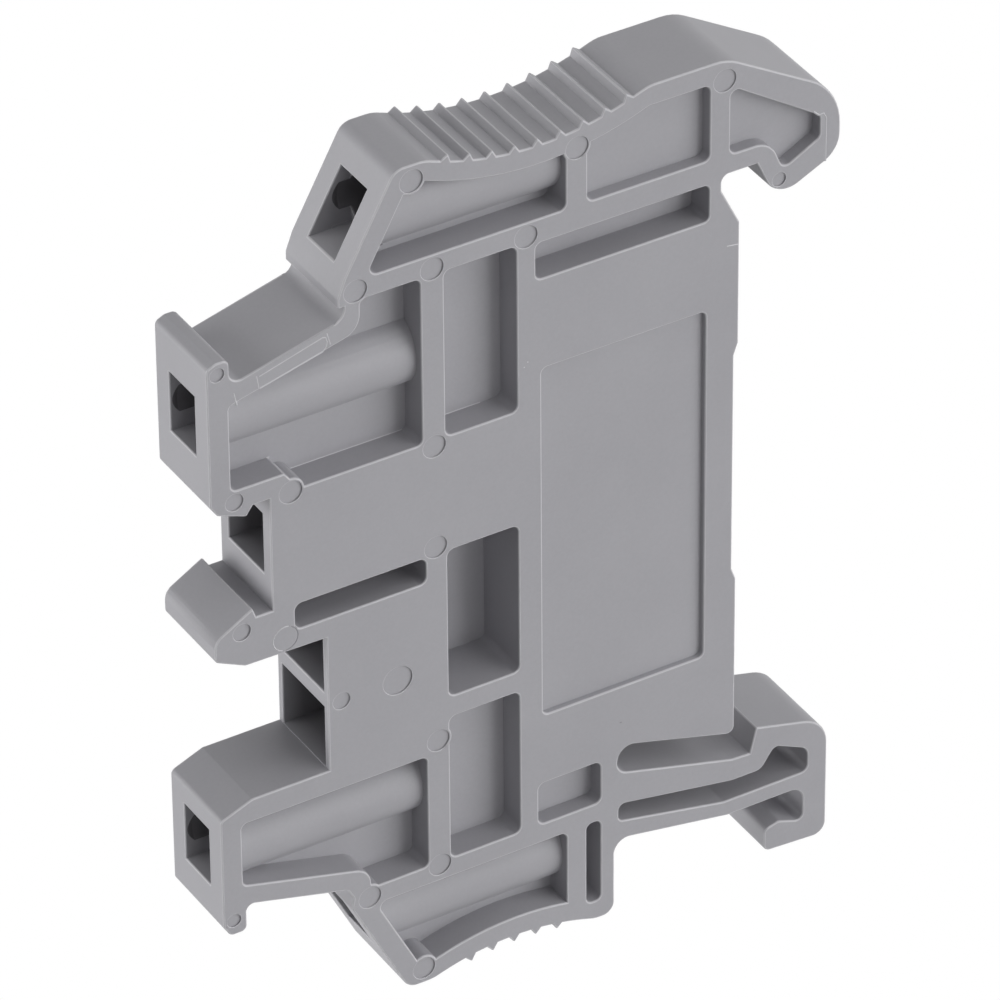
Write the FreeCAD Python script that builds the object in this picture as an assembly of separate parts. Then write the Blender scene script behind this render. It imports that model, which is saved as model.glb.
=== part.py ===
import FreeCAD, Part
import math
import os

Vector = FreeCAD.Vector

# End stop for a 35 mm top-hat rail: one flat nylon moulding with a fixed hook above and a spring foot below.
# Millimetres. X points at the rail from the plane the rail bears on, Z goes up from the rail's centreline,
# and Y runs through the plate from the front face to the back face, with 0 at mid-thickness.

# Plate
rail_width = 35.0
plate_thickness = 5.15
web_thickness = 1.81
deep_floor = 1.67
rim = 1.2
edge_radius = 0.35
pocket_radius = 0.4
top = rail_width / 2
bottom = -rail_width / 2
front = -plate_thickness / 2
pocket_depth = (plate_thickness - web_thickness) / 2

# Rail side: two pads with a shallow relief between them
relief_depth = 0.25
relief_low = -7.6
relief_high = 7.1
relief_ramp = 0.7
pad_chamfer = 2.2
notch_depth = 1.08
notch_height = 0.9
notch_radius = 0.45

# Hook over the rail's upper edge
hook_slot = 1.02
hook_lip_out = 2.16
hook_lip_drop = 2.57
hook_lip_radius = 1.4
hook_reach = 5.91
nose_low_drop = 0.8
nose_low_radius = 1.64
nose_high_rise = 2.81
nose_high_radius = 3.5

# Crown with the upper thumb grip
crown_rise = 6.78
crown_right = -0.8
crown_radius = 2.7
grip_x = -11.75
grip_half = 6.4
grip_drop = 2.36
grip_radius = 16.0
grip_end_radius = 2.0
crown_left = -19.85
crown_left_radius = 0.9

# Slanted upper end, its chin and the arm to the upper head
slant_end_x = -22.75
slant_end_rise = 1.45
chin_x = -23.15
chin_rise = 0.4
chin_drop = 0.15
neck_x = -22.8
neck_drop = 0.82
arm_top_drop = 2.45
arm_fillet = 0.55

# Heads at the wiring side
head_left = -30.55
bead_width = 1.28
bead_top_drop = 0.9
bead_crown = 0.55
bead_side_drop = 1.15
head_drop = 9.3
head_ledge_drop = 9.92
head_ledge_width = 0.4
nib_drop = 10.52
nib_width = 2.0
waist_left = -27.23
waist_drop = 9.97

# Middle arm and the hollow core
arm_top = 0.75
barb_x = -28.15
barb_rise = 0.57
barb_width = 0.2
barb_foot = 0.72
middle_side = 1.23
middle_under = -2.02
middle_under_x = -28.85
core_top = -2.1
core_left = -24.2

# Lower head, its hanging tip and the arm below the core
lower_head_rise = 7.1
lower_ledge_x = -28.7
lower_side_rise = 6.35
tip_drop = 1.05
tip_side_drop = 0.4
tip_inset = 0.4
tip_width = 0.95
under_arm_rise = 0.6
under_arm_drop = 0.95
under_arm_x = -23.3
step_x = -22.93
step_drop = 1.6
lower_slant_x = -23.07
lower_slant_drop = 2.25

# Base with the lower grip, and the pillar that carries the foot
base_drop = 8.77
base_left = -19.8
lower_grip_x = -13.4
lower_grip_half = 4.9
lower_grip_rise = 1.57
base_right_drop = 8.88
pillar_right = -7.32
pillar_radius = 0.7

# Spring foot
tongue_root_drop = 4.12
tongue_root_radius = 0.83
tongue_low_x = -0.35
tongue_low_drop = 5.32
foot_inner_x = 4.35
foot_inner_radius = 0.8
toe_inner_drop = 7.55
toe_top_x = 2.85
toe_top_drop = 7.0
toe_left = 1.95
toe_left_drop = 7.25
toe_low_drop = 8.68
foot_reach = 5.8
foot_low_drop = 8.92
foot_low_radius = 0.75
foot_top_drop = 1.42
foot_top_radius = 1.9
catch_x = 1.38
catch_top_drop = 0.28
catch_root_x = 1.0
catch_root_drop = 1.8

# Open slot that frees the foot from the body
slot_low_x = -0.1
slot_low_drop = 1.75
slot_end_x = -7.2
slot_end_drop = -0.17
slot_top_x = -7.0
slot_top_drop = -1.9
slot_end_radius = 0.8
body_corner_drop = 0.1

# Closed slot inside the foot
loop_left = -7.05
loop_left_drop = 3.02
loop_top_drop = 1.93
loop_mid_x = -0.1
loop_mid_drop = 3.15
loop_hump_foot = 1.7
loop_hump_x = 2.55
loop_right = 4.6
loop_right_drop = 2.9
loop_low_x = -0.6
loop_low_drop = 4.35

# Teeth on the two grips
tooth_pitch = 1.326
tooth_height = 0.4
tooth_base = 0.62
upper_teeth = 9
lower_teeth = 5

# Ribs between the pockets
column_left = -17.15
column_right = -13.0
column_wall = 1.35
right_wall = 1.1
deck_drop = 0.03
deck_low = top - deck_drop
sill_drop = 1.33
sill_high = bottom - sill_drop
sill_height = 1.17
shelf_drop = 9.9
ledge_run = 3.0
ledge_rise = 1.15
ledge_slope = 0.86
elbow_gap = 0.9
elbow_radius = 1.2
crown_pocket_right = -10.15
base_pocket_right = -10.2
core_floor = -8.5
core_rib = 1.3
lower_shelf_rise = 5.7

# Shallow pockets and recesses near the rail
right_edge = -1.8
right_pocket_left = -8.9
shallow_depth = 0.72
hook_pocket_left = -0.6
hook_pocket_depth = 0.75
hook_pocket_rise = 5.1
hook_floor_wall = 1.1
hook_nose_wall = 1.6
long_pocket_height = 2.15
long_pocket_drop = 0.25
label_left = -11.6
label_right = -1.95
label_top_drop = 7.82
label_low_rise = 5.65
label_depth = 0.35
stud_pocket_right = -8.15
stud_pocket_top_rise = 1.3
stud_pocket_depth = 1.0
pillar_slot_width = 0.85
pillar_slot_low = 7.7

# Deep slot beside the middle arm
deep_slot_left = -25.95
deep_slot_right = -18.4
deep_slot_low = -0.9
deep_slot_high = 0.62

# Marker sockets: a tube across each outer pocket, an oblong mouth and a blind round bore that widens behind it
tube_radius = 2.1
mouth_width = 2.5
mouth_height = 3.5
mouth_depth = 1.5
marker_lip = 0.12
marker_radius = 1.5
marker_start = 0.55
marker_depth = 9.5
upper_marker_drop = 5.15
lower_marker_rise = 3.3
crown_marker_rise = 3.5
base_marker_drop = 4.36

# Rectangular sockets in the waist and in the core
waist_socket_width = 3.5
waist_socket_low = 2.6
waist_socket_high = 6.2
waist_socket_depth = 6.0
core_socket_width = 4.25
core_socket_depth = 5.0
core_socket_high = -2.2
core_socket_rib_high = -5.7
core_socket_rib_low = -6.65
core_socket_low = -10.35

# Ejector pin marks on the front face: shallow discs, with a little wall around them where a rib is narrower
pin_depth = 0.1
pin_wall = 0.15
pin_margin = 0.28
deck_pin_rise = 0.38
pin_radius = 0.65
small_pin_radius = 0.5
tip_pin_radius = 0.4
core_pin_radius = 0.85
core_pin_x = -20.15
core_pin_z = -6.3


def corner_cut(before, corner, after):
    """Turn angle at a corner of an outline."""
    first = (corner - before).normalize()
    second = (after - corner).normalize()
    return first.getAngle(second)


def rounded_wire(corners, y):
    """Closed outline in the plane at y. Each corner is (x, z, radius), limited by the sides it joins."""
    points = [Vector(x, y, z) for x, z, radius in corners]
    count = len(points)
    cuts = []
    for i in range(count):
        turn = corner_cut(points[i - 1], points[i], points[(i + 1) % count])
        cuts.append(corners[i][2] * math.tan(turn / 2))
    limits = list(cuts)
    for i in range(count):
        j = (i + 1) % count
        side = points[i].distanceToPoint(points[j])
        share = 0.999 * side / max(cuts[i] + cuts[j], side)
        limits[i] = min(limits[i], cuts[i] * share)
        limits[j] = min(limits[j], cuts[j] * share)
    edges = []
    last = None
    first = None
    for i in range(count):
        corner = points[i]
        back = (points[i - 1] - corner).normalize()
        ahead = (points[(i + 1) % count] - corner).normalize()
        start = corner + back * limits[i]
        end = corner + ahead * limits[i]
        if last is None:
            first = start
        else:
            edges.append(Part.LineSegment(last, start).toShape())
        if limits[i] > 0.01:
            half = back.getAngle(ahead) / 2
            radius = limits[i] * math.tan(half)
            middle = corner + (back + ahead).normalize() * (radius / math.sin(half) - radius)
            edges.append(Part.Arc(start, middle, end).toShape())
        else:
            end = start
        last = end
    edges.append(Part.LineSegment(last, first).toShape())
    return Part.Wire(edges)


def prism(corners, y, depth):
    """Solid of a rounded outline, from the plane at y and depth deep along +Y."""
    return Part.Face(rounded_wire(corners, y)).extrude(Vector(0, depth, 0))


def rectangle(left, right, low, high, radius):
    """Corners of an upright rectangle with rounded corners."""
    return [(left, low, radius), (right, low, radius), (right, high, radius), (left, high, radius)]


def rail_side():
    """Pads that bear on the rail, upwards from the foot's slot, with the relief between them."""
    ramp_low = relief_low + relief_ramp
    ramp_high = relief_high - relief_ramp
    notch_foot = top - notch_height
    return [
        (0, bottom - body_corner_drop, pocket_radius),
        (0, relief_low, 0),
        (-relief_depth, ramp_low, 0),
        (-relief_depth, ramp_high, 0),
        (0, relief_high, 0),
        (0, notch_foot - pad_chamfer, 0),
        (-notch_depth, notch_foot, edge_radius),
        (-notch_depth, top, notch_radius),
    ]


def hook():
    """Fixed hook: the slot for the rail's edge, the lip behind it and the nose above."""
    return [
        (hook_slot, top, 0),
        (hook_lip_out, top - hook_lip_drop, hook_lip_radius),
        (hook_reach, top - nose_low_drop, nose_low_radius),
        (hook_reach, top + nose_high_rise, nose_high_radius),
    ]


def crown():
    """Top edge with the dished thumb grip."""
    height = top + crown_rise
    return [
        (crown_right, height, crown_radius),
        (grip_x + grip_half, height, grip_end_radius),
        (grip_x, height - grip_drop, grip_radius),
        (grip_x - grip_half, height, grip_end_radius),
        (crown_left, height, crown_left_radius),
    ]


def upper_head():
    """Slanted end, chin, arm and upper head, down to the waist."""
    bead_left = head_left + bead_width
    return [
        (slant_end_x, top + slant_end_rise, 0),
        (chin_x, top + chin_rise, edge_radius),
        (chin_x, top - chin_drop, 0),
        (neck_x, top - chin_drop, 0),
        (neck_x, top - neck_drop, 0),
        (bead_left, top - arm_top_drop, arm_fillet),
        (bead_left, top - bead_top_drop, edge_radius),
        (head_left + bead_crown, top - bead_top_drop, edge_radius),
        (head_left, top - bead_side_drop, edge_radius),
        (head_left, top - head_drop, edge_radius),
        (head_left + head_ledge_width, top - head_ledge_drop, edge_radius),
        (head_left + nib_width, top - nib_drop, 0),
        (head_left + nib_width + head_ledge_width, top - waist_drop, 0),
        (waist_left, top - waist_drop, 0),
    ]


def middle_arm():
    """Barbed arm at mid-height and the face of the core below it."""
    return [
        (waist_left, arm_top, 0),
        (barb_x, arm_top, 0),
        (barb_x - barb_width, arm_top + barb_rise, 0),
        (head_left, arm_top - barb_foot, edge_radius),
        (head_left, arm_top - barb_foot - middle_side, edge_radius),
        (middle_under_x, middle_under, pocket_radius),
        (core_left, core_top, 0),
    ]


def lower_head():
    """Lower head with its hanging tip, and the arm back to the slanted lower end."""
    tip_right = head_left + tip_inset + tip_width
    return [
        (core_left, bottom + lower_head_rise, 0),
        (lower_ledge_x, bottom + lower_head_rise, edge_radius),
        (head_left, bottom + lower_side_rise, edge_radius),
        (head_left, bottom - tip_side_drop, edge_radius),
        (head_left + tip_inset, bottom - tip_drop, edge_radius),
        (tip_right, bottom - tip_drop, edge_radius),
        (tip_right, bottom + under_arm_rise, pocket_radius),
        (under_arm_x, bottom - under_arm_drop, pocket_radius),
        (step_x, bottom - step_drop, edge_radius),
        (lower_slant_x, bottom - lower_slant_drop, edge_radius),
    ]


def base():
    """Bottom edge with the lower grip, to the foot of the pillar."""
    return [
        (base_left, bottom - base_drop, crown_left_radius),
        (lower_grip_x - lower_grip_half, bottom - base_drop, grip_end_radius),
        (lower_grip_x, bottom - base_drop + lower_grip_rise, grip_radius),
        (lower_grip_x + lower_grip_half, bottom - base_right_drop, grip_end_radius),
        (pillar_right, bottom - base_right_drop, pillar_radius),
    ]


def spring_foot():
    """Tongue below the loop, the toe for a screwdriver, the foot's back and the catch, to the open slot."""
    return [
        (pillar_right, bottom - tongue_root_drop, tongue_root_radius),
        (tongue_low_x, bottom - tongue_low_drop, tongue_root_radius),
        (foot_inner_x, bottom - tongue_low_drop, foot_inner_radius),
        (foot_inner_x, bottom - toe_inner_drop, edge_radius),
        (toe_top_x, bottom - toe_top_drop, pocket_radius),
        (toe_left, bottom - toe_left_drop, pocket_radius),
        (toe_left, bottom - toe_low_drop, pocket_radius),
        (foot_reach, bottom - foot_low_drop, foot_low_radius),
        (foot_reach, bottom - foot_top_drop, foot_top_radius),
        (catch_x, bottom - catch_top_drop, 0),
        (catch_root_x, bottom - catch_root_drop, 0),
        (slot_low_x, bottom - slot_low_drop, pillar_radius),
        (slot_end_x, bottom - slot_end_drop, slot_end_radius),
        (slot_top_x, bottom - slot_top_drop, slot_end_radius),
    ]


def foot_loop():
    """Corners of the closed slot that turns the foot into a long folded spring."""
    return [
        (loop_left, bottom - loop_top_drop, edge_radius),
        (loop_mid_x, bottom - loop_mid_drop, tongue_root_radius),
        (loop_hump_foot, bottom - loop_mid_drop, pillar_radius),
        (loop_hump_x, bottom - loop_top_drop, pocket_radius),
        (loop_right, bottom - loop_right_drop, pillar_radius),
        (loop_right, bottom - loop_low_drop, pocket_radius),
        (loop_low_x, bottom - loop_low_drop, tongue_root_radius),
        (loop_left, bottom - loop_left_drop, edge_radius),
    ]


def plate_blank():
    """The moulding's outline, one thickness through, with the foot's loop cut out."""
    corners = rail_side() + hook() + crown() + upper_head() + middle_arm() + lower_head()
    corners = corners + base() + spring_foot()
    blank = prism(corners, front, plate_thickness)
    return blank.cut(prism(foot_loop(), front, plate_thickness))


def grip_teeth(centre_x, flank_z, drop, half, outward, count):
    """Row of sharp teeth along one dished grip. outward is 1 on the crown and -1 on the base."""
    slope = math.atan2(drop, half)
    arc_z = flank_z - outward * drop + outward * grip_radius / math.cos(slope)
    root = grip_radius + rim / 2
    widen = tooth_base / 2 * (tooth_height + rim / 2) / tooth_height
    centre = Vector(centre_x, front, arc_z)
    teeth = []
    for i in range(count):
        angle = (i - (count - 1) / 2) * tooth_pitch / grip_radius
        inward = Vector(math.sin(angle), 0, -outward * math.cos(angle))
        along = Vector(math.cos(angle), 0, outward * math.sin(angle)) * widen
        foot = centre + inward * root
        tip = centre + inward * (grip_radius - tooth_height)
        face = Part.Face(Part.makePolygon([foot - along, foot + along, tip, foot - along]))
        teeth.append(face.extrude(Vector(0, plate_thickness, 0)))
    return teeth


def upper_slant(z):
    """x of the slanted upper end at height z."""
    run = (crown_left - slant_end_x) / (crown_rise - slant_end_rise)
    return slant_end_x + (z - top - slant_end_rise) * run


def lower_slant(z):
    """x of the slanted lower end at height z."""
    run = (base_left - lower_slant_x) / (base_drop - lower_slant_drop)
    return lower_slant_x + (bottom - lower_slant_drop - z) * run


def arm_edge(x):
    """Height of the upper arm's top edge at x."""
    slope = (arm_top_drop - neck_drop) / (neck_x - head_left - bead_width)
    return top - neck_drop - slope * (neck_x - x)


def under_arm_edge(x):
    """Height of the lower arm's bottom edge at x."""
    tip_right = head_left + tip_inset + tip_width
    slope = (under_arm_rise + under_arm_drop) / (under_arm_x - tip_right)
    return bottom - under_arm_drop + slope * (under_arm_x - x)


def dished_hollow(left_edge, right, flat, far, centre_x, half, drop, outward):
    """Hollow behind one dished grip: it keeps one rim from the slanted end and from the grip."""
    slope = math.atan2(drop, half)
    vertex = far - outward * (drop - rim + rim / math.cos(slope))
    lean = rim * math.hypot(1, left_edge(0) - left_edge(1))
    corners = [
        (left_edge(flat) + lean, flat, pocket_radius),
        (right, flat, pocket_radius),
        (right, far, pocket_radius),
        (centre_x + half, far, pocket_radius),
        (centre_x, vertex, grip_radius + rim),
        (centre_x - half, far, pocket_radius),
        (left_edge(far) + lean, far, pocket_radius),
    ]
    return prism(corners, front, plate_thickness)


def cell(hollow, left, right, low, high):
    """Part of a hollow between two ribs."""
    return hollow.common(prism(rectangle(left, right, low, high, pocket_radius), front, plate_thickness))


def upper_head_pocket():
    """Corners of the outer pocket of the upper head; its top follows the arm."""
    left = head_left + rim
    low = top - shelf_drop
    elbow = neck_x + elbow_gap
    return [
        (left, low + ledge_rise, edge_radius),
        (left + ledge_run, low + ledge_rise, 0),
        (left + ledge_run + ledge_slope, low, 0),
        (column_left - column_wall, low, edge_radius),
        (column_left - column_wall, deck_low, edge_radius),
        (elbow, deck_low, edge_radius),
        (elbow, arm_edge(elbow) - rim, elbow_radius),
        (left, arm_edge(left) - rim, edge_radius),
    ]


def lower_head_pocket():
    """Corners of the outer pocket of the lower head; its bottom follows the arm."""
    left = head_left + rim
    high = bottom + lower_shelf_rise
    elbow = neck_x + elbow_gap
    return [
        (left, under_arm_edge(left) + rim, edge_radius),
        (elbow, under_arm_edge(elbow) + rim, elbow_radius),
        (elbow, sill_high, edge_radius),
        (column_left - column_wall, sill_high, edge_radius),
        (column_left - column_wall, high, edge_radius),
        (left, high, edge_radius),
    ]


def hook_pocket():
    """Corners of the shallow pocket that follows the hook's arm."""
    low = top + hook_floor_wall
    return [
        (hook_pocket_left, low, pocket_radius),
        (hook_lip_out - pocket_radius, low, hook_lip_radius),
        (hook_lip_out + pocket_radius, top - nose_low_drop, pocket_radius),
        (hook_reach - rim, top + edge_radius, pocket_radius),
        (hook_reach - rim, top + hook_nose_wall, pocket_radius),
        (hook_pocket_left, top + hook_pocket_rise, edge_radius),
    ]


def front_slab(depth):
    """Everything within a depth of the front face."""
    span = 4 * rail_width
    return Part.makeBox(2 * span, depth, 2 * span, Vector(-span, front, -span))


def both_faces(solid):
    """The same solid limited to the pockets' depth, and its mirror image behind."""
    near = solid.common(front_slab(pocket_depth))
    return [near, near.mirror(Vector(0, 0, 0), Vector(0, 1, 0))]


def pockets():
    """All lightening pockets: the ones on both faces and the ones only the front has."""
    crown_high = top + crown_rise - rim
    base_low = bottom - base_drop + rim
    under_crown = dished_hollow(
        upper_slant, right_edge, deck_low + rim, crown_high, grip_x, grip_half, grip_drop, 1)
    above_base = dished_hollow(
        lower_slant, pillar_right, sill_high - sill_height, base_low,
        lower_grip_x, lower_grip_half, lower_grip_rise, -1)
    shelf = top - shelf_drop
    lower_shelf = core_floor - core_rib
    full = [
        cell(under_crown, head_left, crown_pocket_right, deck_low + rim, crown_high),
        cell(above_base, head_left, base_pocket_right, base_low, sill_high - sill_height),
        prism(upper_head_pocket(), front, plate_thickness),
        prism(lower_head_pocket(), front, plate_thickness),
        prism(rectangle(column_left, column_right, shelf, deck_low, pocket_radius), front, plate_thickness),
        prism(rectangle(column_left, column_right, sill_high, lower_shelf, pocket_radius), front, plate_thickness),
        prism(rectangle(column_right + right_wall, right_edge, deck_low - long_pocket_drop - long_pocket_height,
                        deck_low - long_pocket_drop, edge_radius), front, plate_thickness),
    ]
    cuts = []
    for solid in full:
        cuts = cuts + both_faces(solid)
    right_cell = cell(under_crown, right_pocket_left, right_edge, deck_low + rim, crown_high)
    cuts.append(right_cell.common(front_slab(shallow_depth)))
    cuts.append(prism(hook_pocket(), front, hook_pocket_depth))
    cuts.append(prism(rectangle(column_right + right_wall, stud_pocket_right, sill_high, bottom + stud_pocket_top_rise,
                                pocket_radius), front, stud_pocket_depth))
    cuts.append(prism(rectangle(stud_pocket_right - pillar_slot_width, stud_pocket_right, bottom - pillar_slot_low,
                                sill_high - sill_height, edge_radius), front, pocket_depth))
    cuts.append(prism(rectangle(label_left, label_right, bottom + label_low_rise, top - label_top_drop,
                                edge_radius), front, label_depth))
    cuts.append(prism(rectangle(column_left, column_right, core_floor, deep_slot_high, pocket_radius),
                      front, plate_thickness - deep_floor))
    cuts.append(prism(rectangle(deep_slot_left, deep_slot_right, deep_slot_low, deep_slot_high, pocket_radius),
                      front, plate_thickness - deep_floor))
    return cuts


def marker_places():
    """Left end, height and right end of each marker socket's tube."""
    crown_z = top + crown_marker_rise
    base_z = bottom - base_marker_drop
    rib = column_left - column_wall
    return [
        (head_left, top - upper_marker_drop, rib, 0),
        (head_left, bottom + lower_marker_rise, rib, 0),
        (upper_slant(crown_z), crown_z, crown_pocket_right, upper_slant(1) - upper_slant(0)),
        (lower_slant(base_z), base_z, base_pocket_right, lower_slant(1) - lower_slant(0)),
    ]


def marker_tube(left, z, right, run):
    """Half-sunk tube across a pocket, from inside the end wall to inside the rib."""
    start = left - abs(run) * tube_radius
    length = right + rim / 2 - start
    return Part.makeCylinder(tube_radius, length, Vector(start, 0, z), Vector(1, 0, 0))


def marker_socket(left, z, right, run):
    """Oblong mouth with an upright inner wall, and the blind round bore that widens just behind the end face."""
    lead = mouth_height / 2
    corner = Vector(left - lead, -mouth_width / 2, z - mouth_height / 2)
    mouth = Part.makeBox(lead + mouth_depth, mouth_width, mouth_height, corner)
    lean = abs(run) * marker_start
    throat = Vector(left + marker_lip + lean, 0, z)
    widening = Part.makeCone(mouth_width / 2, marker_radius, marker_start - marker_lip, throat, Vector(1, 0, 0))
    start = Vector(left + marker_start + lean, 0, z)
    bore = Part.makeCylinder(marker_radius, marker_depth - marker_start - lean, start, Vector(1, 0, 0))
    return [mouth, widening, bore]


def rectangular_sockets():
    """Deep sockets in the waist and the core, open towards the wiring side."""
    sizes = [
        (waist_left, waist_socket_width, waist_socket_low, waist_socket_high, waist_socket_depth),
        (core_left, core_socket_width, core_socket_rib_high, core_socket_high, core_socket_depth),
        (core_left, core_socket_width, core_socket_low, core_socket_rib_low, core_socket_depth),
    ]
    sockets = []
    for left, width, low, high, depth in sizes:
        corner = Vector(left - rim, -width / 2, low)
        sockets.append(Part.makeBox(depth + rim, width, high - low, corner))
    return sockets


def pin_places():
    """Centre and radius of each ejector pin mark, beside the walls it pushes on."""
    rib = column_left - column_wall / 2
    crown_z = top + crown_rise
    inset = pin_radius + pin_margin
    small_inset = small_pin_radius + pin_margin
    return [
        (head_left + rim / 2, top - bead_top_drop - tip_pin_radius - pin_margin, tip_pin_radius),
        (crown_left + inset, crown_z - inset, pin_radius),
        (neck_x + pin_radius, deck_low + rim / 2, pin_radius),
        (rib, deck_low + deck_pin_rise, pin_radius),
        (column_right + right_wall / 2, deck_low + deck_pin_rise, pin_radius),
        (right_pocket_left - rim / 2, crown_z - grip_drop + pin_wall, pin_radius),
        (crown_right - pin_wall, crown_z - rim, pin_radius),
        (hook_lip_out + pin_wall, top - hook_lip_drop + rim, tip_pin_radius),
        (rib, top - shelf_drop - edge_radius, pin_radius),
        (rib, arm_top + edge_radius, pin_radius),
        (head_left + rim + pin_wall, top - head_ledge_drop + small_pin_radius, small_pin_radius),
        (waist_left + rim, top - waist_drop, pin_radius),
        (head_left + rim + edge_radius, arm_top - pin_radius, small_pin_radius),
        (core_left + small_inset, core_pin_z, small_pin_radius),
        (core_pin_x, core_pin_z, core_pin_radius),
        (rib, core_floor - core_rib - rim, pin_radius),
        (rib, sill_high - pin_wall, pin_radius),
        (step_x + inset, sill_high - sill_height / 2, pin_radius),
        (base_left + inset, bottom - base_drop + inset, pin_radius),
        (head_left + rim / 2, bottom - pin_wall, tip_pin_radius),
    ]


def end_stop_body():
    """The whole moulding."""
    blank = plate_blank()
    body = blank
    for cut in pockets():
        body = body.cut(cut)
    tubes = [marker_tube(*place).common(blank) for place in marker_places()]
    bosses = []
    for x, z, radius in pin_places():
        boss = Part.makeCylinder(radius + pin_wall, -front, Vector(x, front, z), Vector(0, 1, 0))
        bosses.append(boss.common(blank))
    teeth = grip_teeth(grip_x, top + crown_rise, grip_drop, grip_half, 1, upper_teeth)
    teeth = teeth + grip_teeth(lower_grip_x, bottom - base_drop, lower_grip_rise, lower_grip_half, -1, lower_teeth)
    body = body.fuse(tubes + bosses + teeth)
    tools = rectangular_sockets()
    for place in marker_places():
        tools = tools + marker_socket(*place)
    for x, z, radius in pin_places():
        tools.append(Part.makeCylinder(radius, pin_depth, Vector(x, front, z), Vector(0, 1, 0)))
    for tool in tools:
        body = body.cut(tool)
    return body.removeSplitter()


os.makedirs("parts", exist_ok=True)
body = end_stop_body()
body.exportStep("parts/end_stop_body.step")
box = body.BoundBox
print("solids", len(body.Solids), "valid", body.isValid(), "volume", round(body.Volume, 1))
print("x", round(box.XMin, 2), round(box.XMax, 2), "y", round(box.YMin, 2), round(box.YMax, 2),
      "z", round(box.ZMin, 2), round(box.ZMax, 2))
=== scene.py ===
import bmesh
import bpy
import math
import numpy as np
from mathutils import Matrix, Vector
from mathutils.geometry import delaunay_2d_cdt


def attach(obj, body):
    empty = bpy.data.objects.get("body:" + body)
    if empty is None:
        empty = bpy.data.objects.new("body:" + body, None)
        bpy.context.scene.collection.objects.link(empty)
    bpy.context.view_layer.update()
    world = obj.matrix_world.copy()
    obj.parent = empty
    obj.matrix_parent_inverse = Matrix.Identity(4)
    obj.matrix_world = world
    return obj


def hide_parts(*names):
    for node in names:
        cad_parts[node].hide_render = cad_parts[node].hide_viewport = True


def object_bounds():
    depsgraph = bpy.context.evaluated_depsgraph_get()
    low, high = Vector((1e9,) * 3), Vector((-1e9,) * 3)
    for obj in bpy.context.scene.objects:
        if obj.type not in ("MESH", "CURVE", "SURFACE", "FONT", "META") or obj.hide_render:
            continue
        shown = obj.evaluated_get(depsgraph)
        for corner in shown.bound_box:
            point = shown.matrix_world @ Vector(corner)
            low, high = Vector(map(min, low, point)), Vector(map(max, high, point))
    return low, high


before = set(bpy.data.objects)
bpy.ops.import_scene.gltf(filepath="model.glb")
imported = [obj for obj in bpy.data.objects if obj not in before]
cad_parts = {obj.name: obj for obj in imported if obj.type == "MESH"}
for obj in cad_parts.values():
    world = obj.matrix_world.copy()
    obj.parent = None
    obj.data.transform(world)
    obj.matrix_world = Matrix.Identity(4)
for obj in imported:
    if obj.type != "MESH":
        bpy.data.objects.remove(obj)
cad_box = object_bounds()

# Camera and its view of the clamp.
# A long lens looks down on the front face from the wiring side, so that the slanted
# ends, the heads and the toothed crown all show their left and upper sides.
MM = 0.001
aim = Vector((-14.15, -2.575, 2.6)) * MM
ahead = Vector((0.4146, 0.697, -0.578)).normalized()
right = Vector((0.8568, -0.5157, -0.0068)).normalized()
up = right.cross(ahead).normalized()
camera_distance = 430 * MM
camera_data = bpy.data.cameras.new("product_camera")
camera_data.sensor_width = 36
camera_data.lens = 309.3
camera_data.clip_start = 0.01
camera_data.clip_end = 20
camera = bpy.data.objects.new("product_camera", camera_data)
turn = Matrix((right, up, -ahead)).transposed()
camera.matrix_world = Matrix.Translation(aim - ahead * camera_distance) @ turn.to_4x4()
bpy.context.scene.collection.objects.link(camera)
bpy.context.scene.camera = camera

# Moulded nylon finish.
# The whole clamp is one shot of grey polyamide. The steel of the mould left a fine matt grain,
# and the colour drifts very slightly where the melt flowed and cooled.
body_dark = (0.352, 0.348, 0.372, 1)
body_light = (0.388, 0.384, 0.408, 1)
dark_stop = 0.3
light_stop = 0.7
flow_noise = {"Scale": 140, "Detail": 3, "Roughness": 0.6}
speck_noise = {"Scale": 5200, "Detail": 2, "Roughness": 0.6}
grain_noise = {"Scale": 9000, "Detail": 3, "Roughness": 0.55}
flow_share = 0.6
matt_low = 0.46
matt_span = 0.12
grain_strength = 0.12
grain_height = 0.02 * MM
nylon_ior = 1.5
# Painted highlight: the paler tone that the rounded edges and the bright witness lines take.
highlight_tone = (0.68, 0.675, 0.7, 1)
highlight_share = 0.5
# Painted shade: the dark tone towards which the bores and sockets are darkened; the dark joint lines take it
# too.
shade_and_joint_tone = (0.06, 0.055, 0.06, 1)
# How far the dark lines are darkened: a real dark joint on the foot, painted shade on the pin mark and one
# speck.
joint_and_shade_share = 0.3
mouth_lip = 0.13

# Each round bore has its height, its mouth's left end and the lean of that end, in millimetres.
marker_bores = [(12.35, -30.55, 0), (-14.2, -30.55, 0), (21.0, -21.63, 0.544), (-21.86, -22.01, -0.502)]
mouth_depth = 1.51
mouth_half = 1.27
bore_depth = 9.6
bore_reach = 1.54
# How far the bores' walls are darkened by painted shade.
bore_shade = 0.7

# Each rectangular socket has its left end, bottom, top, half width and depth, in millimetres.
sockets = [(-27.23, 2.6, 6.2, 1.75, 6.0),
           (-24.2, -5.7, -2.2, 2.125, 5.0),
           (-24.2, -10.35, -6.65, 2.125, 5.0)]
socket_gap = 0.04
socket_fade = 1.2
# How far the sockets' walls are darkened by painted shade.
socket_shade = 0.525


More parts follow.
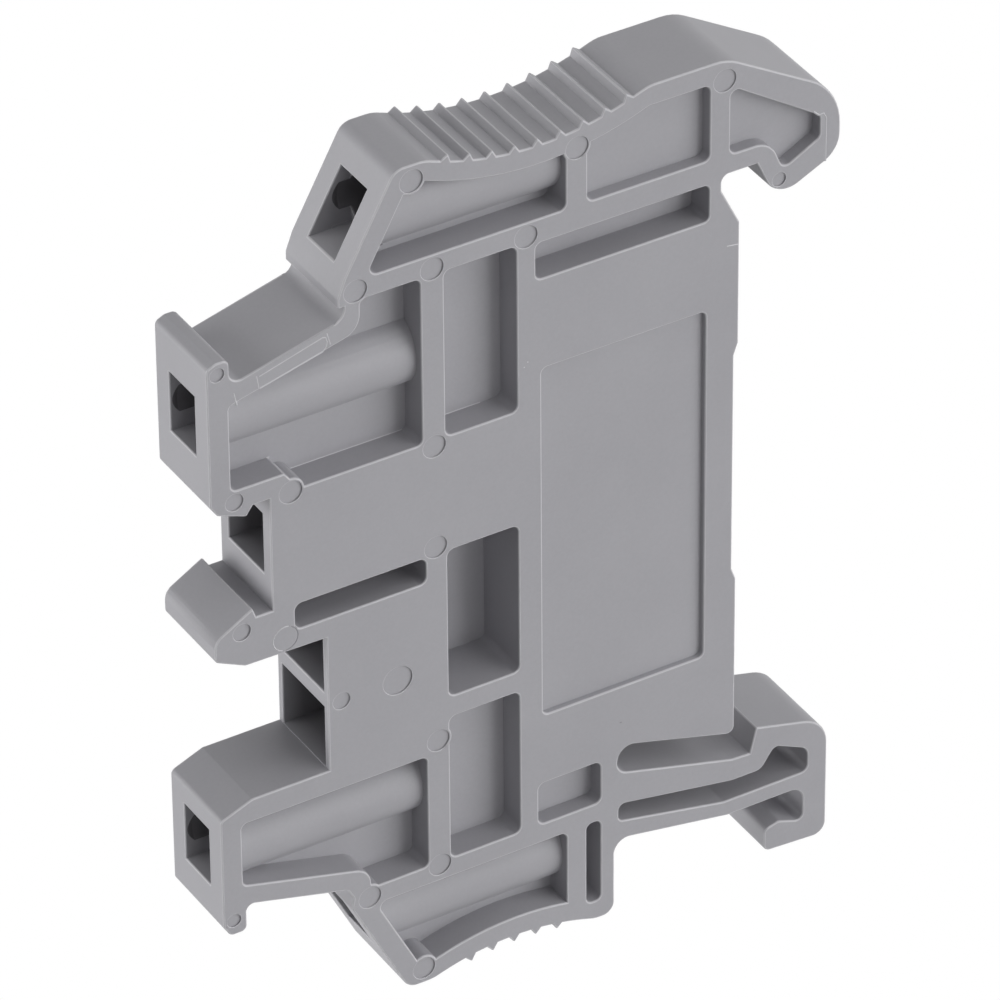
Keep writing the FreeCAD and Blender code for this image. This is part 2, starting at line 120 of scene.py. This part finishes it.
class Link:
    """A shader socket that takes part in Python arithmetic."""

    def __init__(self, tree, socket):
        self.tree = tree
        self.socket = socket

    @classmethod
    def node(cls, tree, kind, settings, inputs, output=0):
        """An output of one new node, with its settings made first, then its sockets' values or links."""
        made = tree.nodes.new(kind)
        for key, value in settings.items():
            if key == "stops":
                for stop, (place, colour) in zip(made.color_ramp.elements, value):
                    stop.position = place
                    stop.color = colour
            else:
                setattr(made, key, value)
        for key, value in inputs.items():
            if isinstance(value, cls):
                tree.links.new(value.socket, made.inputs[key])
            else:
                made.inputs[key].default_value = value
        return cls(tree, made.outputs[output])

    def math(self, operation, other):
        return Link.node(self.tree, "ShaderNodeMath", {"operation": operation}, {0: self, 1: other})

    def __mul__(self, other):
        return self.math("MULTIPLY", other)

    def __add__(self, other):
        return self.math("ADD", other)

    def __sub__(self, other):
        return self.math("SUBTRACT", other)

    def __rsub__(self, other):
        return self * -1 + other

    def __gt__(self, other):
        return self.math("GREATER_THAN", other)

    def __lt__(self, other):
        return self.math("LESS_THAN", other)

    __rmul__ = __mul__
    __radd__ = __add__


def tint(tree, share, first, second):
    """A colour between two others."""
    return Link.node(tree, "ShaderNodeMix", {"data_type": "RGBA"}, {0: share, 6: first, 7: second}, 2)


def painted_bore_shade(x, y, z):
    """Painted shade on the walls and ends of the round bores, past their oblong mouths."""
    masks = []
    for height, left, lean in marker_bores:
        rise = z - height
        depth = x - left
        past_mouth = ((depth > mouth_depth) + (y * y > mouth_half ** 2)) > 0.5
        inside = (depth - rise * lean > mouth_lip) * (depth < bore_depth)
        masks.append((y * y + rise * rise < bore_reach ** 2) * inside * past_mouth)
    return sum(masks)


def painted_socket_shade(x, y, z):
    """Painted shade on the walls of the rectangular sockets, rising from nothing at the mouth."""
    masks = []
    for left, low, high, half_width, depth in sockets:
        along = (x > left + mouth_lip) * (x < left + depth + socket_gap)
        upright = (z > low - socket_gap) * (z < high + socket_gap)
        across = y * y < (half_width + socket_gap) ** 2
        fade = ((x - left) * (1 / socket_fade)).math("MINIMUM", 1)
        masks.append(along * upright * across * fade)
    return sum(masks)


def moulded_nylon():
    """Grey polyamide with a spark-eroded grain, a painted highlight on the rims and painted shade inside its
    holes.
    """
    material = bpy.data.materials.new("moulded_nylon")
    material.use_nodes = True
    tree = material.node_tree
    shader = tree.nodes["Principled BSDF"]
    place = Link.node(tree, "ShaderNodeTexCoord", {}, {}, "Object")
    x, y, z = [Link.node(tree, "ShaderNodeSeparateXYZ", {}, {0: place}, axis) * (1 / MM) for axis in "XYZ"]
    flow = Link.node(tree, "ShaderNodeTexNoise", {}, {"Vector": place, **flow_noise})
    speck = Link.node(tree, "ShaderNodeTexNoise", {}, {"Vector": place, **speck_noise})
    grain = Link.node(tree, "ShaderNodeTexNoise", {}, {"Vector": place, **grain_noise})
    tone = flow * flow_share + speck * (1 - flow_share)
    stops = [(dark_stop, body_dark), (light_stop, body_light)]
    colour = Link.node(tree, "ShaderNodeValToRGB", {"stops": stops}, {"Fac": tone})
    painted_highlight = Link.node(tree, "ShaderNodeAttribute", {"attribute_name": "painted_highlight"}, {}, "Fac")
    joint_and_shade = Link.node(tree, "ShaderNodeAttribute", {"attribute_name": "joint_and_shade"}, {}, "Fac")
    highlighted = tint(tree, painted_highlight * highlight_share, colour, highlight_tone)
    # Painted shade in the bores and sockets, and the tone of the dark lines.
    shade = painted_bore_shade(x, y, z) * bore_shade + painted_socket_shade(x, y, z) * socket_shade + joint_and_shade * joint_and_shade_share
    shaded = tint(tree, shade, highlighted, shade_and_joint_tone)
    matt = speck * matt_span + matt_low
    relief = {"Height": grain, "Strength": grain_strength, "Distance": grain_height}
    bump = Link.node(tree, "ShaderNodeBump", {}, relief)
    tree.links.new(shaded.socket, shader.inputs["Base Color"])
    tree.links.new(matt.socket, shader.inputs["Roughness"])
    tree.links.new(bump.socket, shader.inputs["Normal"])
    shader.inputs["IOR"].default_value = nylon_ior
    return material


nylon = moulded_nylon()

# Clamp body.
# One injection moulding of grey polyamide: plate, ribs, hook, heads, core, grips and sprung foot.
# Its outer edges and pocket rims are slightly rounded, as the mould's walls leave them, and two
# corners of its outline are wider curves: the barb's tip and the one between upper arm and chin.
edge_round = 0.09 * MM
round_share = 0.36
round_steps = 2
sharp_turn = math.radians(52)
inner_crease = math.radians(-28)
outer_crease = math.radians(58)
wall_lean = 0.5
merge_gap = 0.002 * MM
flat_gap = 0.0006 * MM
fill_inside = 1
fill_precision = 1e-7
smallest_region = 3
half_plate = 2.575
cutter_overhang = 0.1
arm_corner = {"centre": (-23.571, 17.28), "radius": 0.771, "turns": (-75.7, -60, -45, -30, -15, 0)}
arm_corner_inside = [(-22.7, 17.28), (-22.7, 16.6), (-23.36, 16.43)]
barb_corner = {"centre": (-29.7, -0.457), "radius": 0.85,
               "turns": (120.4, 128, 136, 144, 152, 160, 170, 180)}
barb_outside = [(-31.2, -0.457), (-31.2, 0.794), (-30.433, 0.794)]
flush_step = (-24.2, -10.375)
step_reach = 0.06


def round_points(centre, radius, turns):
    """Points of an arc in the plate's plane, at turns in degrees."""
    angles = [math.radians(turn) for turn in turns]
    return [(centre[0] + radius * math.cos(angle), centre[1] + radius * math.sin(angle)) for angle in angles]


def piece_of(mesh, name):
    """A new piece that takes over a mesh under construction."""
    data = bpy.data.meshes.new(name)
    mesh.to_mesh(data)
    mesh.free()
    piece = bpy.data.objects.new(name, data)
    bpy.context.scene.collection.objects.link(piece)
    return piece


def merged(data):
    """A mesh under construction, with the points that lie on each other made one."""
    mesh = bmesh.new()
    mesh.from_mesh(data)
    bmesh.ops.remove_doubles(mesh, verts=mesh.verts, dist=merge_gap)
    return mesh


def corner_prism(outline, half):
    """Prism across the plate, to fill or cut a corner of the clamp's outline."""
    mesh = bmesh.new()
    ends = [[mesh.verts.new(Vector((x, y, z)) * MM) for x, z in outline] for y in (-half, half)]
    mesh.faces.new(ends[0])
    mesh.faces.new(ends[1])
    for i in range(len(outline)):
        mesh.faces.new([ends[0][i - 1], ends[0][i], ends[1][i], ends[1][i - 1]])
    bmesh.ops.recalc_face_normals(mesh, faces=mesh.faces)
    return piece_of(mesh, "corner_prism")


def shaped_mesh(mesh, kind, settings):
    """A mesh after one modifier, with two empty slots so that new faces can be told by theirs."""
    piece = piece_of(mesh, "shaping")
    piece.data.materials.append(None)
    piece.data.materials.append(None)
    modifier = piece.modifiers.new("shaping", kind)
    for key, value in settings.items():
        setattr(modifier, key, value)
    shaped = bpy.data.meshes.new_from_object(piece.evaluated_get(bpy.context.evaluated_depsgraph_get()))
    bpy.data.objects.remove(piece)
    return shaped


def flat_regions(mesh):
    """Groups of neighbouring faces that lie in one plane, the largest faces first."""
    seen = set()
    for seed in sorted(mesh.faces, key=lambda face: -face.calc_area()):
        if seed in seen:
            continue
        seen.add(seed)
        level = seed.verts[0].co.dot(seed.normal)
        group = [seed]
        for face in group:
            for edge in face.edges:
                for other in edge.link_faces:
                    if other not in seen:
                        gaps = [abs(vert.co.dot(seed.normal) - level) for vert in other.verts]
                        if max(gaps) < flat_gap:
                            seen.add(other)
                            group.append(other)
        if len(group) >= smallest_region:
            yield group


def inside_rims(middles, flat, rims):
    """Which points lie inside the outline and in none of its holes, by counting the rims beside them."""
    crossings = np.zeros(len(middles), int)
    for first, second in rims:
        x0, y0 = flat[first]
        x1, y1 = flat[second]
        spans = (y0 > middles[:, 1]) != (y1 > middles[:, 1])
        if spans.any():
            crossing_x = x0 + (middles[:, 1] - y0) * (x1 - x0) / (y1 - y0)
            crossings += spans & (middles[:, 0] < crossing_x)
    return crossings % 2 == 1


def refill(mesh, group):
    """Fills a plane region's outline again with well-shaped triangles, its holes left open."""
    members = set(group)
    rim_edges = [edge for face in group for edge in face.edges
                 if sum(other in members for other in edge.link_faces) == 1]
    kind = group[0].material_index
    normal = group[0].normal.copy()
    side = normal.orthogonal().normalized()
    rise = normal.cross(side)
    verts = list(dict.fromkeys(vert for edge in rim_edges for vert in edge.verts))
    place = {vert: i for i, vert in enumerate(verts)}
    flat = [Vector((vert.co.dot(side), vert.co.dot(rise))) / MM for vert in verts]
    rims = [(place[edge.verts[0]], place[edge.verts[1]]) for edge in rim_edges]
    points, _, triangles, sources, _, _ = delaunay_2d_cdt(flat, rims, [], fill_inside, fill_precision, True)
    if not all(sources) or len(points) != len(flat):
        return
    middles = np.array([tuple(point) for point in points])[np.array(triangles)].mean(axis=1)
    bmesh.ops.delete(mesh, geom=group, context="FACES_KEEP_BOUNDARY")
    for triangle, inside in zip(triangles, inside_rims(middles, flat, rims)):
        if inside:
            mesh.faces.new([verts[sources[i][0]] for i in triangle]).material_index = kind


def clean_planes(mesh):
    """Fills every plane region again and turns all faces outwards."""
    mesh.normal_update()
    mesh.faces.ensure_lookup_table()
    mesh.faces.index_update()
    for group in list(flat_regions(mesh)):
        refill(mesh, group)
    bmesh.ops.recalc_face_normals(mesh, faces=mesh.faces)
    mesh.normal_update()


def wall_span(face, edge):
    """How far a face reaches from one of its edges."""
    base = edge.verts[0].co
    along = (edge.verts[1].co - base).normalized()
    return max(((vert.co - base) - along * (vert.co - base).dot(along)).length for vert in face.verts)


def at_flush_step(edge):
    """Whether an edge belongs to the very low step where the lower socket's floor meets the arm's top."""
    return all(math.hypot(vert.co.x / MM - flush_step[0], vert.co.z / MM - flush_step[1]) < step_reach
               for vert in edge.verts)


def mark_round_edges(mesh):
    """Gives each sharp outer edge its share of the bevel, less where a wall is very low."""
    layer = mesh.edges.layers.float.new("bevel_weight_edge")
    for edge in mesh.edges:
        sharp = len(edge.link_faces) == 2 and edge.calc_face_angle_signed(0) > sharp_turn
        if sharp and not at_flush_step(edge):
            spans = [wall_span(face, edge) for face in edge.link_faces if abs(face.normal.y) < wall_lean]
            room = min(spans) if spans else edge_round / round_share
            edge[layer] = min(1.0, round_share * room / edge_round)


def corner_normals(mesh):
    """Shading normals of all corners: exact on planes, the mean of each smooth fan elsewhere."""
    plane = {face: group[0].normal for group in flat_regions(mesh) for face in group}
    share = {loop: loop.calc_angle() * loop.face.calc_area() for face in mesh.faces for loop in face.loops}
    found = {}
    for vert in mesh.verts:
        waiting = {loop.face: loop for loop in vert.link_loops}
        while waiting:
            fan = [waiting.popitem()]
            for face, loop in fan:
                for edge in face.edges:
                    if vert in edge.verts and edge.smooth:
                        fan += [(other, waiting.pop(other)) for other in edge.link_faces if other in waiting]
            flat = [plane[face] for face, loop in fan if face in plane]
            parts = flat or [face.normal * share[loop] for face, loop in fan]
            mean = sum(parts, Vector()).normalized()
            for face, loop in fan:
                found[loop] = plane.get(face, mean)
    return [found[loop] for face in mesh.faces for loop in face.loops]


def rounded_body():
    """The moulding with its arm and barb corners round, clean plane faces and rounded edges."""
    cutter = corner_prism(round_points(**barb_corner) + barb_outside, half_plate + cutter_overhang)
    filler = corner_prism(round_points(**arm_corner) + arm_corner_inside, half_plate)
    mesh = merged(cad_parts["end_stop_body"].data)
    for operation, prism in (("DIFFERENCE", cutter), ("UNION", filler)):
        settings = {"operation": operation, "solver": "EXACT", "object": prism}
        mesh = merged(shaped_mesh(mesh, "BOOLEAN", settings))
        bpy.data.objects.remove(prism)
    clean_planes(mesh)
    mark_round_edges(mesh)
    settings = {"width": edge_round, "segments": round_steps, "limit_method": "WEIGHT",
                "use_clamp_overlap": False, "loop_slide": False, "material": 1}
    shaped = shaped_mesh(mesh, "BEVEL", settings)
    mesh = bmesh.new()
    mesh.from_mesh(shaped)
    clean_planes(mesh)
    # The bevel's new faces are marked here so that the nylon paints a highlight on them.
    painted_highlight = mesh.faces.layers.float.new("painted_highlight")
    for face in mesh.faces:
        face.smooth = True
        face[painted_highlight] = face.material_index
        face.material_index = 0
    for edge in mesh.edges:
        edge.smooth = inner_crease < edge.calc_face_angle_signed(0) < outer_crease
    normals = corner_normals(mesh)
    piece = piece_of(mesh, "clamp_body")
    piece.data.normals_split_custom_set(normals)
    return piece


clamp_body = rounded_body()
clamp_body.data.materials.append(nylon)
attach(clamp_body, "root")
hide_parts("end_stop_body")

# Socket corners.
# The oblong mouths reach a little past the end walls, where their corners are as far out as the
# round tubes. A small web of the same moulding closes each corner there.
mouth_corners = [
    {"left": -30.55, "height": 12.35, "start": 0.9, "rises": (-1, 1)},
    {"left": -30.55, "height": -14.2, "start": 0.9, "rises": (-1, 1)},
    {"left": -21.63, "height": 21.0, "start": 0.15, "rises": (-1,)},
    {"left": -22.01, "height": -21.86, "start": 0.25, "rises": (1,)},
]
web_end = 1.62
web_outline = [(1.26, 1.5), (1.26, 1.76), (0.95, 1.76), (0.95, 1.98), (1.22, 1.97), (1.5, 1.76), (1.62, 1.5)]


def add_web(mesh, left, height, start, rise, side):
    """One web behind a corner of a mouth, above or below it and in front or behind."""
    outline = [(left + start, side * across, height + rise * up_by) for across, up_by in web_outline]
    near = mesh.faces.new([mesh.verts.new(Vector(point) * MM) for point in outline])
    grown = bmesh.ops.extrude_face_region(mesh, geom=[near], use_keep_orig=True)
    far = [item for item in grown["geom"] if isinstance(item, bmesh.types.BMVert)]
    bmesh.ops.translate(mesh, verts=far, vec=Vector((web_end - start, 0, 0)) * MM)


webs = bmesh.new()
for corner in mouth_corners:
    for rise in corner["rises"]:
        for side in (-1, 1):
            add_web(webs, corner["left"], corner["height"], corner["start"], rise, side)
bmesh.ops.recalc_face_normals(webs, faces=webs.faces)
socket_webs = piece_of(webs, "socket_corner_webs")
socket_webs.data.materials.append(nylon)
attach(socket_webs, "root")

# Witness lines.
# Hair-thin raised lines and specks that joints, pins and nicks in the mould left: the outline of an
# inset on the upper arm, a faint pin mark on the middle arm, flash at the foot of two pocket floors,
# and a dark joint across the foot. The bright lines take a painted highlight, and the pin mark's lower
# right half and one dark speck are painted shade.
line_width = 0.14
line_height = 0.02
# How strongly the lines take the painted highlight or the dark tone.
line_tone = 1.25
front = -half_plate
pocket_floor = -0.905
foot_top = -18.92
to_front = Vector((0, -1, 0))
to_top = Vector((0, 0, 1))
pin_centre = (-26.54, -1.2)
pin_radius = 0.72
pin_steps = 10


def pin_rim(first, last):
    """Part of the rim of the pin mark, between two turns in degrees."""
    turns = [first + (last - first) * i / pin_steps for i in range(pin_steps + 1)]
    return [(x, front, z) for x, z in round_points(pin_centre, pin_radius, turns)]


bright_lines = [
    # The pin mark's upper left rim, with a painted highlight.
    (to_front, pin_rim(75, 255)),
    (to_front, [(-27.62, front, 15.02), (-24.05, front, 16.02), (-23.88, front, 15.97), (-23.8, front, 15.7),
                (-23.86, front, 15.4), (-24.05, front, 15.2), (-27.6, front, 14.32)]),
    (to_front, [(-27.78, front, 15.1), (-27.66, front, 14.3)]),
    (to_front, [(-23.81, front, 16.19), (-23.62, front, 15.48)]),
    (to_front, [(-29.06, front, 14.54), (-28.91, front, 13.78)]),
    (to_front, [(4.3, front, 19.5), (4.6, front, 19.2), (4.9, front, 19.2), (5.05, front, 18.9),
                (5.05, front, 16.3)]),
    (to_front, [(-0.76, front, 13.19), (-0.1, front, 13.1)]),
    (to_front, [(-12.65, front, 10.13), (-12.57, front, 10.13)]),
    (to_front, [(-12.45, front, 10.38), (-12.37, front, 10.38)]),
    (to_front, [(-28.3, pocket_floor, 8.61), (-26.47, pocket_floor, 8.6)]),
    (to_front, [(-25.5, pocket_floor, 7.62), (-18.7, pocket_floor, 7.62)]),
    (to_front, [(-17.0, pocket_floor, 7.62), (-14.2, pocket_floor, 7.62)]),
]
dark_lines = [
    # The pin mark's lower right rim, darkened as painted shade.
    (to_front, pin_rim(-90, 60)),
    # A dimple's speck, darkened as painted shade.
    (to_front, [(-7.01, front, -14.14), (-6.89, front, -14.14)]),
    (to_top, [(2.2, 1.48, foot_top), (3.6, 0.74, foot_top), (4.95, 0.05, foot_top)]),
]


def raised_line(mesh, out, points):
    """A low three-sided ridge along a line on a flat face."""
    path = [Vector(point) for point in points]
    rings = []
    for i, point in enumerate(path):
        along = (path[min(i + 1, len(path) - 1)] - path[max(i - 1, 0)]).normalized()
        across = along.cross(out) * line_width / 2
        lift = out * line_height
        ring = (point - across - lift, point + across - lift, point + lift)
        rings.append([mesh.verts.new(corner * MM) for corner in ring])
    for one, two in zip(rings, rings[1:]):
        for j in range(3):
            mesh.faces.new([one[j], one[(j + 1) % 3], two[(j + 1) % 3], two[j]])
    mesh.faces.new(rings[0])
    mesh.faces.new(rings[-1])


def witness_piece(name, lines, tone_attribute):
    """All lines of one kind as one piece; the tone attribute names the painted highlight, or the dark joint
    and painted shade, that the nylon takes there.
    """
    mesh = bmesh.new()
    for out, points in lines:
        raised_line(mesh, out, points)
    bmesh.ops.recalc_face_normals(mesh, faces=mesh.faces)
    piece = piece_of(mesh, name)
    tones = piece.data.attributes.new(tone_attribute, "FLOAT", "FACE")
    tones.data.foreach_set("value", [line_tone] * len(piece.data.polygons))
    piece.data.materials.append(nylon)
    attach(piece, "root")


witness_piece("highlighted_witness_lines", bright_lines, "painted_highlight")
witness_piece("dark_joint_and_shade_lines", dark_lines, "joint_and_shade")

# Floor and backdrop.
# A plain white table far below the clamp, and the same white all round it. Only the camera and the
# gloss of the surfaces see it as white, so it adds no light of its own.
floor_drop = 1200 * MM
floor_half = 6.0
floor_tone = (0.8, 0.8, 0.8, 1)
floor_roughness = 0.9
white = (1, 1, 1, 1)
seeing_rays = ("Is Camera Ray", "Is Glossy Ray", "Is Transmission Ray")


def seen_white(tree, dim):
    """White for the camera and for gloss, and another surface or light for all else."""
    seen = sum(Link.node(tree, "ShaderNodeLightPath", {}, {}, ray) for ray in seeing_rays) > 0.5
    glow = Link.node(tree, "ShaderNodeEmission", {}, {"Color": white, "Strength": 1.0})
    return Link.node(tree, "ShaderNodeMixShader", {}, {0: seen, 1: dim, 2: glow})


floor_z = cad_box[0].z - floor_drop
floor_sides = [(-1, -1), (1, -1), (1, 1), (-1, 1)]
floor_corners = [(x * floor_half, y * floor_half, floor_z) for x, y in floor_sides]
floor_mesh = bpy.data.meshes.new("studio_floor")
floor_mesh.from_pydata(floor_corners, [], [(0, 1, 2, 3)])
floor = bpy.data.objects.new("studio_floor", floor_mesh)
bpy.context.scene.collection.objects.link(floor)
floor_paint = bpy.data.materials.new("white_floor")
floor_paint.use_nodes = True
paint = floor_paint.node_tree
dull = paint.nodes["Principled BSDF"]
dull.inputs["Base Color"].default_value = floor_tone
dull.inputs["Roughness"].default_value = floor_roughness
painted = seen_white(paint, Link(paint, dull.outputs[0]))
paint.links.new(painted.socket, paint.nodes["Material Output"].inputs["Surface"])
floor_mesh.materials.append(floor_paint)

# Light.
# Large soft panels: the main one stands in front on the rail side, so the walls inside the pockets
# that face the wiring side stay dark. Others light the left faces, the right slopes and the tops.
surround_strength = 0.1
panel_size = 1.5
panels = {
    "rail_side_panel": ((1.0, -1.15, 0.35), 17.5),
    "front_panel": ((0.1, -1.6, 0.1), 6.0),
    "wiring_side_panel": ((-1.3, 0.65, 0.0), 19.5),
    "far_rail_panel": ((1.2, 0.3, 0.7), 2.5),
    "top_panel": ((0.0, -0.2, 1.5), 6.2),
}
world = bpy.data.worlds.new("pale_surround")
bpy.context.scene.world = world
world.use_nodes = True
sky = world.node_tree
surround = sky.nodes["Background"]
surround.inputs["Color"].default_value = white
surround.inputs["Strength"].default_value = surround_strength
lit_sky = seen_white(sky, Link(sky, surround.outputs[0]))
sky.links.new(lit_sky.socket, sky.nodes["World Output"].inputs["Surface"])
for name, (place, power) in panels.items():
    data = bpy.data.lights.new(name, "AREA")
    data.shape = "SQUARE"
    data.size = panel_size
    data.energy = power
    lamp = bpy.data.objects.new(name, data)
    lamp.location = place
    lamp.rotation_euler = (aim - Vector(place)).to_track_quat("-Z", "Y").to_euler()
    bpy.context.scene.collection.objects.link(lamp)

bpy.context.scene.view_settings.view_transform = "Standard"
